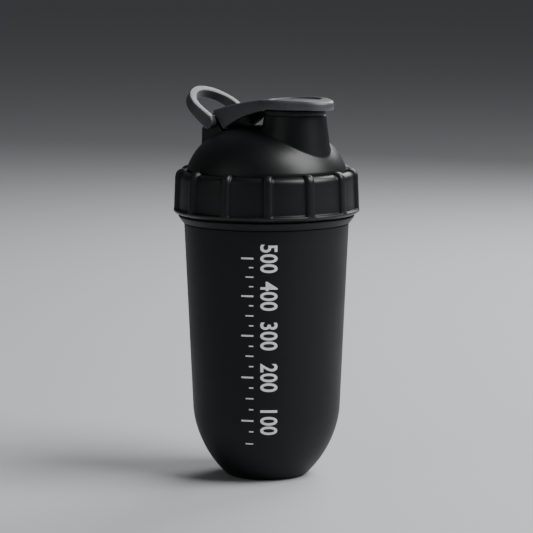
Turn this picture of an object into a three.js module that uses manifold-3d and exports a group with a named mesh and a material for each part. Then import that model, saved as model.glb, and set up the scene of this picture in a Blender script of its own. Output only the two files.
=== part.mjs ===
// A protein shaker bottle: a round-bottomed tumbler, a ribbed screw collar that clamps a dome lid onto it,
// a spout in the dome, and a flip cap and a carry loop that share one hinge pin.
// Millimetres, +Z up. The origin is the centre of the tumbler's foot.
// +X points from the hinge to the spout.
import * as THREE from "three";
import { mergeVertices } from "three/addons/utils/BufferGeometryUtils.js";
import Module from "manifold-3d";

const wasm = await Module();
wasm.setup();

const TAU = 2 * Math.PI;
const degrees = THREE.MathUtils.degToRad;

// Driving dimensions.
const GAP = 0.3; // between pieces that touch or run on each other
const ROUND_SIDES = 48; // sides of a large round
const SPOUT_SIDES = 36; // sides of the spout, its seal and the dish in the cap

const FOOT_RADIUS = 19.5;
const BODY_RADIUS = 39; // where the round bottom meets the straight taper
const BODY_SLOPE = 0.0453; // growth of the radius for each millimetre of height
const ROUND_TOP = 36.9; // height of the top of the round bottom
const ROUND_DEPTH = 45.8; // half height of the ellipse that the round bottom is part of
const ROUND_POWER = 1.87;
const BODY_WALL = 2.2;
const BODY_FLOOR = 2.8;
const FOOT_EDGE = 0.4; // height of the small slope round the foot
const STOP_BASE = 133.7; // the flared stop below the collar
const STOP_TOP = 138.8;
const STOP_RADIUS = 46.3;
const NECK_RADIUS = 41.5;
const NECK_BORE = 39.3;
const RIM_TOP = 156.4;

const THREAD_LEAD = 9;
const THREAD_DEPTH = 1.5;
const THREAD_BASE = 142.3; // height of the neck thread's centre where it starts

const COLLAR_BASE = 139.3;
const COLLAR_TOP = 163.5;
const COLLAR_RADIUS = 49; // over the ribs
const COLLAR_BORE = 43.4;
const LIP_BORE = 42.2; // the lip that holds the dome's flange down
const RIB_COUNT = 13;
const RIB_WIDTH = 4.9;
const RIB_PHASE = -49.3; // direction of the first rib, in degrees from +X

const FLANGE_RADIUS = 43.7;
const FLANGE_BASE = 158.4;
const FLANGE_TOP = 160.9;
const PLUG_RADIUS = 39; // the skirt that plugs the neck
const PLUG_BASE = 149.9;
const DOME_RADIUS = 44.2; // half axes and powers of the dome's outline
const DOME_HEIGHT = 37.2;
const DOME_CENTRE = 148.2;
const DOME_POWERS = [2.87, 2.183];
const DOME_WALL = 2;

const SPOUT_X = 19.4;
const SPOUT_RADIUS = 15.8; // at its rim
const SPOUT_TOP = 195.2;
const SPOUT_DRAFT = 0.128; // growth of the radius for each millimetre downwards
const SPOUT_WALL = 2.4;

const HINGE_X = -27;
const HINGE_Z = 187.2;
const PIN_RADIUS = 1.6;
const EAR_RADIUS = 3.4;
const EAR_INSIDE = 9.2; // half distance between the two ears
const EAR_OUTSIDE = 12.6;
const BRACKET_BACK = -34;
const BRACKET_FOOT = 172; // height, inside the dome, that the bracket stands on

const CAP_UNDERSIDE = 195.8;
const CAP_RADIUS = 17.9; // the round lid over the spout
const CAP_HALF_WIDTH = 12.4; // the lever arm
const TAB_RADIUS = 13; // the thumb tab in front of it
const TAB_X = 28.8;
const BARREL_RADIUS = 4.1;

const LOOP_THICKNESS = 4;
const LOOP_RADIUS = 16.9; // outside of the arc
const LOOP_REACH = 9.4; // from the pin to the arc's centre
const LOOP_LEAN = 36; // degrees above the horizontal, backwards
const LOOP_ARM_RADIUS = 3.6;
const LOOP_TOP_RADIUS = 2.1;

// Solids.

// A closed geometry as a solid. A wrapped or mirrored one has its faces turned the right way round.
function solidOf(geometry) {
  const bare = geometry.index ? geometry.toNonIndexed() : geometry.clone();
  bare.deleteAttribute("normal");
  bare.deleteAttribute("uv");
  const merged = mergeVertices(bare, 1e-4);
  const corners = new Uint32Array(merged.index.array);
  const make = () =>
    new wasm.Manifold(
      new wasm.Mesh({ numProp: 3, vertProperties: merged.attributes.position.array, triVerts: corners }),
    );
  const made = make();
  if (made.volume() > 0) return made;
  for (let i = 0; i < corners.length; i += 3) {
    [corners[i + 1], corners[i + 2]] = [corners[i + 2], corners[i + 1]];
  }
  return make();
}

function geometryOf(solid) {
  const { numProp, vertProperties, triVerts } = solid.getMesh();
  const geometry = new THREE.BufferGeometry();
  const places = new Float32Array((vertProperties.length / numProp) * 3);
  for (let i = 0; i < places.length / 3; i++) {
    places.set(vertProperties.subarray(i * numProp, i * numProp + 3), i * 3);
  }
  geometry.setAttribute("position", new THREE.BufferAttribute(places, 3));
  geometry.setIndex(new THREE.BufferAttribute(triVerts, 1));
  return geometry;
}

// A solid of revolution about +Z from [radius, height] points, closed on the axis or on itself.
function turned(outline, sides = ROUND_SIDES) {
  const points = outline.map(([radius, height]) => new THREE.Vector2(radius, height));
  const geometry = new THREE.LatheGeometry(points, sides);
  geometry.rotateX(Math.PI / 2);
  return solidOf(geometry);
}

// A shape drawn in X and Z, as a slab from y = low to y = high.
function slab(shape, low, high, curveSegments = 8) {
  const depth = high - low;
  const geometry = new THREE.ExtrudeGeometry(shape, { depth, bevelEnabled: false, curveSegments });
  geometry.rotateX(Math.PI / 2);
  geometry.translate(0, high, 0);
  return solidOf(geometry);
}

// A shape drawn in X and Y, as a plate from z = low to z = high.
function plate(shape, low, high, curveSegments = 8) {
  const depth = high - low;
  const geometry = new THREE.ExtrudeGeometry(shape, { depth, bevelEnabled: false, curveSegments });
  geometry.translate(0, 0, low);
  return solidOf(geometry);
}

// A rod along Y through (x, z).
function crossRod(radius, halfLength, x = 0, z = 0) {
  const geometry = new THREE.CylinderGeometry(radius, radius, 2 * halfLength, 20);
  geometry.translate(x, 0, z);
  return solidOf(geometry);
}

// A screw thread: a straight bar of trapezium section wrapped round the axis, rising by the lead each turn.
function thread(rootRadius, crestRadius, rootWidth, crestWidth, firstTurn, lastTurn, base) {
  const section = new THREE.Shape([
    new THREE.Vector2(rootRadius, -rootWidth / 2),
    new THREE.Vector2(crestRadius, -crestWidth / 2),
    new THREE.Vector2(crestRadius, crestWidth / 2),
    new THREE.Vector2(rootRadius, rootWidth / 2),
  ]);
  const turns = lastTurn - firstTurn;
  const bar = new THREE.ExtrudeGeometry(section, {
    depth: turns,
    steps: Math.round(turns * ROUND_SIDES * 0.75),
    bevelEnabled: false,
  });
  const places = bar.getAttribute("position");
  for (let i = 0; i < places.count; i++) {
    const radius = places.getX(i);
    const turn = firstTurn + places.getZ(i);
    const height = base + places.getY(i) + THREAD_LEAD * turn;
    places.setXYZ(i, radius * Math.cos(turn * TAU), radius * Math.sin(turn * TAU), height);
  }
  return solidOf(bar);
}

// Tumbler.

function bodyRadius(height) {
  const taper = BODY_RADIUS + BODY_SLOPE * (height - ROUND_TOP);
  if (height >= ROUND_TOP) return taper;
  const depth = (ROUND_TOP - height) / ROUND_DEPTH;
  return taper * (1 - depth ** ROUND_POWER) ** (1 / ROUND_POWER);
}

// Points up the outside of the round bottom, closer together near the foot.
function roundBottom(steps) {
  const points = [];
  for (let i = 0; i <= steps; i++) {
    const height = FOOT_EDGE + (ROUND_TOP - FOOT_EDGE) * (i / steps) ** 1.5;
    points.push([bodyRadius(height), height]);
  }
  return points;
}

// The same points moved into the material by a wall's thickness.
function movedInwards(points, wall) {
  return points.map(([radius, height], i) => {
    const before = points[Math.max(i - 1, 0)];
    const after = points[Math.min(i + 1, points.length - 1)];
    const run = after[0] - before[0];
    const rise = after[1] - before[1];
    const length = Math.hypot(run, rise);
    return [radius - (wall * rise) / length, height + (wall * run) / length];
  });
}

function tumbler() {
  const bottom = roundBottom(8);
  const inside = movedInwards(bottom, BODY_WALL).filter(([, height]) => height > BODY_FLOOR + 0.5);
  const stop = [0, 0.35, 0.7, 1].map((along) => [
    bodyRadius(STOP_BASE) + (STOP_RADIUS - bodyRadius(STOP_BASE)) * along ** 2,
    STOP_BASE + (STOP_TOP - 0.6 - STOP_BASE) * along,
  ]);
  const shell = turned([
    [0, 0],
    [FOOT_RADIUS, 0],
    ...bottom,
    ...stop,
    [STOP_RADIUS, STOP_TOP],
    [NECK_RADIUS, STOP_TOP],
    [NECK_RADIUS, RIM_TOP - 0.5],
    [NECK_RADIUS - 0.5, RIM_TOP],
    [NECK_BORE, RIM_TOP],
    [NECK_BORE, STOP_TOP],
    [bodyRadius(STOP_BASE) - BODY_WALL, STOP_BASE - 1],
    ...inside.reverse(),
    [inside[inside.length - 1][0] - 3, BODY_FLOOR],
    [0, BODY_FLOOR],
  ]);
  const crest = NECK_RADIUS + THREAD_DEPTH;
  return shell.add(thread(NECK_RADIUS - 0.5, crest, 3.4, 1.6, 0, 1.3, THREAD_BASE));
}

// Collar.

// One rib, seen from the side: X is the radius. It curves over the collar's shoulder at the top.
function ribShape() {
  const shoulder = 4;
  const topRadius = COLLAR_RADIUS - 0.7;
  const shape = new THREE.Shape();
  shape.moveTo(COLLAR_BORE + 1.4, COLLAR_BASE + 0.6);
  shape.lineTo(COLLAR_RADIUS - 0.9, COLLAR_BASE + 0.8);
  shape.lineTo(COLLAR_RADIUS, COLLAR_BASE + 2.4);
  shape.lineTo(topRadius, COLLAR_TOP - shoulder);
  shape.absarc(topRadius - shoulder, COLLAR_TOP - shoulder, shoulder, 0, Math.PI / 2, false);
  shape.lineTo(LIP_BORE + 0.4, COLLAR_TOP - 0.2);
  shape.lineTo(LIP_BORE + 0.8, FLANGE_TOP + 0.6);
  shape.lineTo(COLLAR_BORE + 1.4, FLANGE_TOP + 0.4);
  return shape;
}

function screwCollar() {
  const sides = 4 * RIB_COUNT;
  const panelTop = COLLAR_RADIUS - 2.5;
  let collar = turned(
    [
      [COLLAR_BORE, COLLAR_BASE],
      [STOP_RADIUS, COLLAR_BASE],
      [COLLAR_RADIUS - 0.3, COLLAR_BASE + 1.6],
      [COLLAR_RADIUS, COLLAR_BASE + 2.1],
      [COLLAR_RADIUS, COLLAR_BASE + 2.6],
      [COLLAR_RADIUS - 1.9, COLLAR_BASE + 3.1],
      [panelTop, COLLAR_TOP - 4.8],
      [panelTop - 0.9, COLLAR_TOP - 2.7],
      [panelTop - 2.6, COLLAR_TOP - 1.5],
      [LIP_BORE, COLLAR_TOP - 1.3],
      [LIP_BORE, FLANGE_TOP + GAP],
      [FLANGE_RADIUS + GAP, FLANGE_TOP + GAP],
      [FLANGE_RADIUS + GAP, RIM_TOP],
      [COLLAR_BORE, RIM_TOP - 0.6],
      [COLLAR_BORE, COLLAR_BASE],
    ],
    sides,
  );
  const rib = slab(ribShape(), -RIB_WIDTH / 2, RIB_WIDTH / 2, 4);
  for (let i = 0; i < RIB_COUNT; i++) {
    collar = collar.add(rib.rotate([0, 0, RIB_PHASE + (i * 360) / RIB_COUNT]));
  }
  const crest = COLLAR_BORE - THREAD_DEPTH + 0.1;
  const midway = THREAD_BASE + THREAD_LEAD / 2;
  return collar.add(thread(COLLAR_BORE + 0.5, crest, 3.4, 1.6, -0.25, 0.85, midway));
}

// Dome lid.

// A quarter of the dome's outline, from a height above its centre plane up to the axis.
function domeOutline(wall, fromHeight, steps) {
  const [radiusPower, heightPower] = DOME_POWERS;
  const radius = DOME_RADIUS - wall;
  const height = DOME_HEIGHT - wall;
  const start = Math.asin(((fromHeight - DOME_CENTRE) / height) ** (heightPower / 2));
  const points = [];
  for (let i = 0; i < steps; i++) {
    const turn = start + ((Math.PI / 2 - start) * i) / steps;
    points.push([
      radius * Math.cos(turn) ** (2 / radiusPower),
      DOME_CENTRE + height * Math.sin(turn) ** (2 / heightPower),
    ]);
  }
  return [...points, [0, DOME_CENTRE + height]];
}

function spoutOutside() {
  const base = FLANGE_TOP + 3;
  const radiusAt = (height) => SPOUT_RADIUS + SPOUT_DRAFT * (SPOUT_TOP - height);
  const groove = SPOUT_TOP - 1.8;
  return turned(
    [
      [0, base],
      [radiusAt(base), base],
      [radiusAt(groove - 0.4), groove - 0.4],
      [radiusAt(groove) - 0.4, groove],
      [SPOUT_RADIUS + 0.3, groove + 0.5],
      [SPOUT_RADIUS + 0.3, SPOUT_TOP - 0.5],
      [SPOUT_RADIUS - 0.2, SPOUT_TOP],
      [0, SPOUT_TOP],
    ],
    SPOUT_SIDES,
  );
}

function spoutBore() {
  const base = FLANGE_TOP + 7;
  const top = SPOUT_TOP + 1;
  const radiusAt = (height) => SPOUT_RADIUS - SPOUT_WALL + SPOUT_DRAFT * (SPOUT_TOP - height);
  return turned([[0, base], [radiusAt(base), base], [radiusAt(top), top], [0, top]], SPOUT_SIDES);
}

// One ear of the hinge bracket from the side: a knob round the pin on a foot that runs into the dome.
function earShape() {
  const [knobFront, knobBack] = [degrees(-15), degrees(205)];
  const shape = new THREE.Shape();
  shape.moveTo(BRACKET_BACK, BRACKET_FOOT);
  shape.lineTo(HINGE_X + 9, BRACKET_FOOT);
  shape.lineTo(HINGE_X + 9, HINGE_Z - 6.5);
  shape.lineTo(HINGE_X + 6.8, HINGE_Z - 4.6);
  shape.absarc(HINGE_X, HINGE_Z, EAR_RADIUS, knobFront, knobBack, false);
  shape.lineTo(BRACKET_BACK + 1, HINGE_Z - 2.9);
  shape.lineTo(BRACKET_BACK, HINGE_Z - 3.9);
  return shape;
}

// The low wall that joins the two ears behind the barrel.
function bracketBackShape() {
  const shape = new THREE.Shape();
  shape.moveTo(BRACKET_BACK, BRACKET_FOOT);
  shape.lineTo(BRACKET_BACK + 4.5, BRACKET_FOOT);
  shape.lineTo(BRACKET_BACK + 2.4, HINGE_Z - 5.1);
  shape.lineTo(BRACKET_BACK, HINGE_Z - 5.1);
  return shape;
}

function domeLid() {
  const skirtBore = PLUG_RADIUS - 1.6;
  const crown = domeOutline(0, COLLAR_TOP, 8);
  const outside = turned([
    [0, PLUG_BASE],
    [PLUG_RADIUS - 0.6, PLUG_BASE],
    [PLUG_RADIUS, PLUG_BASE + 0.8],
    [PLUG_RADIUS, FLANGE_BASE],
    [FLANGE_RADIUS, FLANGE_BASE],
    [FLANGE_RADIUS, FLANGE_TOP],
    [crown[0][0], FLANGE_TOP],
    ...crown,
  ]);
  const inside = turned([
    [0, PLUG_BASE - 1],
    [skirtBore, PLUG_BASE - 1],
    [skirtBore, FLANGE_BASE],
    ...domeOutline(DOME_WALL, COLLAR_TOP, 6),
  ]);
  const ear = earShape();
  return outside
    .add(spoutOutside().translate([SPOUT_X, 0, 0]))
    .add(slab(ear, EAR_INSIDE, EAR_OUTSIDE))
    .add(slab(ear, -EAR_OUTSIDE, -EAR_INSIDE))
    .add(slab(bracketBackShape(), -EAR_OUTSIDE, EAR_OUTSIDE))
    .subtract(inside)
    .subtract(spoutBore().translate([SPOUT_X, 0, 0]))
    .subtract(crossRod(PIN_RADIUS + GAP, EAR_OUTSIDE + 1, HINGE_X, HINGE_Z));
}

// Rim gasket, between the tumbler's rim and the dome's flange.
function rimGasket() {
  const inner = PLUG_RADIUS + GAP;
  const outer = NECK_RADIUS + 0.4;
  const low = RIM_TOP + GAP;
  const high = FLANGE_BASE - GAP;
  return turned([[inner, low], [outer, low], [outer, high], [inner, high], [inner, low]]);
}

// Flip cap.

// Seen from above: a straight arm that flares into the round lid and ends in the thumb tab.
function capPlan() {
  const flare = 20;
  const flareY = CAP_HALF_WIDTH + flare;
  const flareX = SPOUT_X - Math.sqrt((CAP_RADIUS + flare) ** 2 - flareY ** 2);
  const meets = Math.atan2(flareY, SPOUT_X - flareX); // direction from the flare's centre to the lid's
  const tangent = Math.acos((CAP_RADIUS - TAB_RADIUS) / (TAB_X - SPOUT_X));
  const back = HINGE_X - 2;
  const shape = new THREE.Shape();
  shape.moveTo(back, -CAP_HALF_WIDTH);
  shape.lineTo(flareX, -CAP_HALF_WIDTH);
  shape.absarc(flareX, -flareY, flare, Math.PI / 2, meets, true);
  shape.absarc(SPOUT_X, 0, CAP_RADIUS, meets - Math.PI, -tangent, false);
  shape.absarc(TAB_X, 0, TAB_RADIUS, -tangent, tangent, false);
  shape.absarc(SPOUT_X, 0, CAP_RADIUS, tangent, Math.PI - meets, false);
  shape.absarc(flareX, flareY, flare, -meets, -Math.PI / 2, true);
  shape.lineTo(back, CAP_HALF_WIDTH);
  return shape;
}

// The lever from the side: arched underneath, and cut off on a slant above the ears at the hinge end.
const CAP_SHOULDER = [HINGE_X, HINGE_Z + 6];
const CAP_TIP = [HINGE_X + 7.8, HINGE_Z - 3.8];
const ARCH_MIDDLE = [-3, 191.7]; // where the two curves underneath meet, with the same slope
const ARCH_CONTROLS = [[-12.5, 188.6], [9.6, CAP_UNDERSIDE]];
const BACK_CONTROL = [-5, 199.9]; // control point of the curve over the arm

function capSide() {
  const front = TAB_X + TAB_RADIUS + 1;
  const shape = new THREE.Shape();
  shape.moveTo(...CAP_TIP);
  shape.quadraticCurveTo(...ARCH_CONTROLS[0], ...ARCH_MIDDLE);
  shape.quadraticCurveTo(...ARCH_CONTROLS[1], SPOUT_X, CAP_UNDERSIDE);
  shape.lineTo(SPOUT_X + SPOUT_RADIUS + 2, CAP_UNDERSIDE);
  shape.lineTo(front, CAP_UNDERSIDE - 0.6);
  shape.lineTo(front, CAP_UNDERSIDE + 4);
  shape.lineTo(SPOUT_X + 4, CAP_UNDERSIDE + 5.2);
  shape.lineTo(14, CAP_UNDERSIDE + 4.9);
  shape.quadraticCurveTo(...BACK_CONTROL, ...CAP_SHOULDER);
  return shape;
}

// The hollow under the arm, between its two side walls.
// Its back end also lifts the middle of the tip off the dome.
function archShape() {
  const low = HINGE_Z - 7;
  const tipRoof = HINGE_Z + 0.2;
  const roofBack = HINGE_Z + 6.2;
  const roofTop = HINGE_Z + 9.4;
  const front = 5;
  const back = HINGE_X + 10;
  const shape = new THREE.Shape();
  shape.moveTo(back - 3, low);
  shape.lineTo(front, low);
  shape.lineTo(front, CAP_UNDERSIDE + 2);
  shape.quadraticCurveTo((front + back) / 2, roofTop, back, roofBack);
  shape.lineTo(back, tipRoof);
  shape.lineTo(back - 3, tipRoof);
  return shape;
}

// The narrow tongue between the ears, which ends in the barrel round the pin.
function tongueShape() {
  const front = HINGE_X + 8.5;
  const shape = new THREE.Shape();
  shape.moveTo(front, HINGE_Z + 1);
  shape.lineTo(front, HINGE_Z + 7);
  shape.lineTo(CAP_SHOULDER[0] + 1, CAP_SHOULDER[1] - 0.1);
  shape.quadraticCurveTo(HINGE_X - 4, HINGE_Z + 5.2, HINGE_X - BARREL_RADIUS, HINGE_Z);
  shape.absarc(HINGE_X, HINGE_Z, BARREL_RADIUS, Math.PI, degrees(300), false);
  return shape;
}

// The well under the round lid that the spout's rim sits in.
function spoutWell() {
  const radius = SPOUT_RADIUS + 0.8;
  const low = HINGE_Z;
  return turned([[0, low], [radius, low], [radius, CAP_UNDERSIDE], [0, CAP_UNDERSIDE]], SPOUT_SIDES);
}

// The shallow dish in the top of the round lid.
function capDish() {
  const floor = CAP_UNDERSIDE + 3.6;
  const above = CAP_UNDERSIDE + 9;
  const floorRadius = SPOUT_RADIUS - SPOUT_WALL;
  const topRadius = floorRadius + 1.4;
  return turned([[0, floor], [floorRadius, floor], [topRadius, above], [0, above]], SPOUT_SIDES);
}

function flipCap() {
  const halfTongue = EAR_INSIDE - GAP;
  const halfArch = CAP_HALF_WIDTH - 2.2;
  return slab(capSide(), -CAP_RADIUS - 1, CAP_RADIUS + 1, 10)
    .intersect(plate(capPlan(), HINGE_Z - 5, CAP_UNDERSIDE + 8, 10))
    .subtract(slab(archShape(), -halfArch, halfArch))
    .subtract(spoutWell().translate([SPOUT_X, 0, 0]))
    .subtract(capDish().translate([SPOUT_X, 0, 0]))
    .add(slab(tongueShape(), -halfTongue, halfTongue))
    .subtract(crossRod(PIN_RADIUS + GAP, EAR_OUTSIDE, HINGE_X, HINGE_Z));
}

// Spout seal: a soft plug under the cap, narrower at its foot so that it swings clear of the spout.
function spoutSeal() {
  const top = CAP_UNDERSIDE - GAP;
  const foot = SPOUT_TOP - 5;
  const topRadius = SPOUT_RADIUS - SPOUT_WALL - GAP;
  return turned(
    [
      [0, top - 1.5],
      [topRadius - 3, top - 1.5],
      [topRadius - 2.6, foot],
      [topRadius - 1.1, foot],
      [topRadius, top - 1.2],
      [topRadius, top],
      [0, top],
    ],
    SPOUT_SIDES,
  );
}

// Carry loop, lying along +X from the pin.
function loopPlan(half, arc) {
  const shape = new THREE.Shape();
  shape.moveTo(-LOOP_ARM_RADIUS - 1, -half);
  shape.lineTo(LOOP_REACH, -half);
  shape.absarc(LOOP_REACH, 0, arc, -Math.PI / 2, Math.PI / 2, false);
  shape.lineTo(-LOOP_ARM_RADIUS - 1, half);
  return shape;
}

function loopSide() {
  const end = LOOP_REACH + LOOP_RADIUS;
  const shape = new THREE.Shape();
  shape.absarc(0, 0, LOOP_ARM_RADIUS, Math.PI / 2, -Math.PI / 2, false);
  shape.lineTo(end - 0.8, -LOOP_TOP_RADIUS);
  shape.lineTo(end, -LOOP_TOP_RADIUS + 0.8);
  shape.lineTo(end, LOOP_TOP_RADIUS - 0.8);
  shape.lineTo(end - 0.8, LOOP_TOP_RADIUS);
  return shape;
}

function carryLoop() {
  const inner = LOOP_RADIUS - LOOP_THICKNESS;
  const halfBore = PIN_RADIUS + GAP;
  const tall = LOOP_ARM_RADIUS + 1;
  return plate(loopPlan(LOOP_RADIUS, LOOP_RADIUS), -tall, tall, 16)
    .subtract(plate(loopPlan(inner, inner), -tall, tall, 12))
    .intersect(slab(loopSide(), -LOOP_RADIUS, LOOP_RADIUS))
    .subtract(crossRod(halfBore, LOOP_RADIUS - 1.5));
}

// The pin ends inside the loop's two arms.
function hingePin() {
  return crossRod(PIN_RADIUS, LOOP_RADIUS - 1.5 - GAP);
}

// Assembly.

function mesh(name, solid, color, roughness) {
  const material = new THREE.MeshStandardMaterial({ color, roughness, metalness: 0 });
  const made = new THREE.Mesh(geometryOf(solid), material);
  made.name = name;
  return made;
}

const BLACK = 0x191a1c;
const GREY = 0x4b4c4f;

const bottle = new THREE.Group();
bottle.add(mesh("tumbler", tumbler(), BLACK, 0.55));

const lid = new THREE.Group();
lid.add(mesh("screw_collar", screwCollar(), BLACK, 0.45));
lid.add(mesh("dome_lid", domeLid(), BLACK, 0.45));
lid.add(mesh("rim_gasket", rimGasket(), 0x2c2d2f, 0.8));
bottle.add(lid);

// The cap and its seal are drawn where they lie when closed, and turn about the pin as one group.
const capGroup = new THREE.Group();
const cap = mesh("flip_cap", flipCap(), GREY, 0.5);
const seal = mesh("spout_seal", spoutSeal(), 0x8d8f92, 0.7);
cap.position.set(-HINGE_X, 0, -HINGE_Z);
seal.position.set(SPOUT_X - HINGE_X, 0, -HINGE_Z);
capGroup.add(cap, seal);

const hinge = new THREE.Group();
hinge.position.set(HINGE_X, 0, HINGE_Z);
const pin = mesh("hinge_pin", hingePin(), 0x8a8c8f, 0.35);
const loop = mesh("carry_loop", carryLoop(), GREY, 0.5);
loop.rotation.y = -degrees(180 - LOOP_LEAN);
hinge.add(capGroup, pin, loop);
lid.add(hinge);

export default bottle;
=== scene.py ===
# %% [markdown]
# # A protein shaker bottle
# The bottle is a soft-touch black tumbler with a round bottom, a ribbed screw collar that clamps a dome
# lid onto it, a spout in the dome, and a grey flip cap and carry loop that share one hinge pin. The
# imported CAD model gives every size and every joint. This lesson models each piece again, finer, in its
# exact place, gives it a finish, and then hides the plain CAD piece that it stands for.

# %% Load the fixed frame
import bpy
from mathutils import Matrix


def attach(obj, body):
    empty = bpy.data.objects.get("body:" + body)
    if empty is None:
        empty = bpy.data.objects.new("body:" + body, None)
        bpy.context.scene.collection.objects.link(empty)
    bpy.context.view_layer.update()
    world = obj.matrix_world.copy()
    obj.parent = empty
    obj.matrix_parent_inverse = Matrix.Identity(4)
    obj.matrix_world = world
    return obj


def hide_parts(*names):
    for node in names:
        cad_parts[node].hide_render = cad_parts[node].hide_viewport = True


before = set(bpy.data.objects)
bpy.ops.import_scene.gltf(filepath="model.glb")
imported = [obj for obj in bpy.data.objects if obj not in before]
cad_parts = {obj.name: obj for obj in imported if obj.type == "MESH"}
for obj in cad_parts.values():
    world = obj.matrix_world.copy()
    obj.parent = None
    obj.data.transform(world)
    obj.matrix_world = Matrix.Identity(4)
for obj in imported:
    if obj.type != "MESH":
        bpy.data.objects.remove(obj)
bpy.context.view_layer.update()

# %% [markdown]
# ## Working habits
# Blender works in metres and the drawing is in millimetres, so one number changes between them. An
# operator acts on everything that is selected. So each step first lets go of everything, and then picks
# its faces, edges or vertices by their place, which is what a hand with a mouse would do by eye.

# %% Units, selecting and edit mode
from math import acos, atan2, cos, degrees, hypot, pi, radians, sin, sqrt, tan
import bmesh
import bpy
import numpy as np
from mathutils import Matrix, Vector

MM = 0.001


def let_go():
    bpy.ops.object.select_all(action="DESELECT")


def hold(piece):
    let_go()
    piece.select_set(True)
    bpy.context.view_layer.objects.active = piece


def edit_on():
    bpy.ops.object.mode_set(mode="EDIT")


def edit_whole(piece):
    hold(piece)
    edit_on()
    bpy.ops.mesh.select_all(action="SELECT")


def edit_off():
    bpy.ops.object.mode_set(mode="OBJECT")


def pick(piece, kind, wanted):
    """In edit mode: selects the VERT, EDGE or FACE elements whose centre, in millimetres, passes a test."""
    bpy.ops.mesh.select_mode(type=kind)
    bpy.ops.mesh.select_all(action="DESELECT")
    shape = bmesh.from_edit_mesh(piece.data)
    count = 0
    for element in {"VERT": shape.verts, "EDGE": shape.edges, "FACE": shape.faces}[kind]:
        if kind == "VERT":
            centre = element.co / MM
        elif kind == "EDGE":
            centre = (element.verts[0].co + element.verts[1].co) / (2 * MM)
        else:
            centre = element.calc_center_median() / MM
        chosen = bool(wanted(centre, element))
        element.select_set(chosen)
        count += chosen
    shape.select_flush_mode()
    bmesh.update_edit_mesh(piece.data)
    return count


def faces_out(piece):
    edit_whole(piece)
    bpy.ops.mesh.normals_make_consistent(inside=False)
    edit_off()
    return piece


def described(piece):
    low = [min(v.co[i] for v in piece.data.vertices) / MM for i in range(3)]
    high = [max(v.co[i] for v in piece.data.vertices) / MM for i in range(3)]
    sizes = " x ".join(f"{b - a:.1f}" for a, b in zip(low, high))
    print(f"{piece.name}: {len(piece.data.polygons)} faces, {sizes} mm, from z {low[2]:.1f} to {high[2]:.1f}")


print("one millimetre is", MM, "m")

# %% [markdown]
# ## Drawing outlines
# Nearly every corner of a moulded part is rounded, because molten plastic flows badly into sharp ones. So
# an outline is listed by its sharp corners, each with the radius of its rounding, and one helper puts the
# arcs in.

# %% Outlines with rounded corners
def rounded(corners, steps=4):
    """Corner list with each (x, y, radius) corner replaced by points on an arc that touches both sides."""
    points = []
    for i, corner in enumerate(corners):
        here = Vector(corner[:2])
        if len(corner) < 3:
            points.append(tuple(here))
            continue
        back = (Vector(corners[i - 1][:2]) - here).normalized()
        ahead = (Vector(corners[(i + 1) % len(corners)][:2]) - here).normalized()
        half = back.angle(ahead) / 2
        centre = here + (back + ahead).normalized() * (corner[2] / sin(half))
        start = here + back * (corner[2] / tan(half)) - centre
        end = here + ahead * (corner[2] / tan(half)) - centre
        sweep = start.angle(end)
        for k in range(steps + 1):
            share = k / steps
            arm = (start * sin((1 - share) * sweep) + end * sin(share * sweep)) / sin(sweep)
            points.append(tuple(centre + arm))
    return points


def arc(x, y, radius, start, end, steps):
    """Points on a circle from one direction to another, in degrees."""
    turns = [radians(start + (end - start) * k / steps) for k in range(steps + 1)]
    return [(x + radius * cos(t), y + radius * sin(t)) for t in turns]


print("a square corner rounded in 4 steps has", len(rounded([(0, 0), (4, 0, 1), (4, 4)])) - 2, "points")

# %% [markdown]
# ## Turned pieces
# A bottle is round, so most of it could be drawn as half a section and spun. Here a circle is extruded
# ring by ring instead, as a potter pulls up a wall: each ring is lifted and resized to the next point of
# the outline. It makes the same skin, and the last ring can be merged to a point on the axis, so no hole
# is left.

# %% A helper that extrudes a circle along an outline
def turned(name, outline, sides=128, ring=False):
    """A turned piece from (radius, height) points. A ring closes on itself and the rest close on the axis."""
    let_go()
    radius, height = outline[0]
    bpy.ops.mesh.primitive_circle_add(vertices=sides, radius=radius * MM, location=(0, 0, height * MM),
                                      fill_type="NOTHING" if ring else "TRIFAN")
    piece = bpy.context.object
    piece.name = name
    bpy.ops.object.transform_apply(location=True, rotation=True, scale=True)
    edit_on()
    bpy.ops.mesh.select_mode(type="EDGE")
    bpy.ops.mesh.select_all(action="SELECT")
    if not ring:
        bpy.ops.mesh.region_to_loop()
    for next_radius, next_height in outline[1:] + (outline[:1] if ring else []):
        lift = (0, 0, (next_height - height) * MM)
        bpy.ops.mesh.extrude_region_move(TRANSFORM_OT_translate={"value": lift})
        growth = next_radius / radius
        bpy.ops.transform.resize(value=(growth, growth, 1), center_override=(0, 0, next_height * MM))
        radius, height = next_radius, next_height
    if not ring:
        bpy.ops.mesh.merge(type="CENTER")
    bpy.ops.mesh.select_all(action="SELECT")
    bpy.ops.mesh.remove_doubles(threshold=0.002 * MM)
    bpy.ops.mesh.normals_make_consistent(inside=False)
    edit_off()
    return piece


def softly(piece, angle=32):
    """Smooth shading that keeps edges sharper than the angle crisp."""
    hold(piece)
    bpy.ops.object.shade_smooth_by_angle(angle=radians(angle))
    return piece


def fused(piece, other, operation="UNION"):
    """Joins a second closed piece to the first, or cuts it away with DIFFERENCE, and uses it up."""
    hold(piece)
    joint = piece.modifiers.new("join", "BOOLEAN")
    joint.operation = operation
    joint.solver = "EXACT"
    joint.object = other
    bpy.ops.object.modifier_apply(modifier=joint.name)
    hold(other)
    bpy.ops.object.delete()
    hold(piece)
    return piece


print("turned pieces have 128 sides unless they say otherwise")

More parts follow.
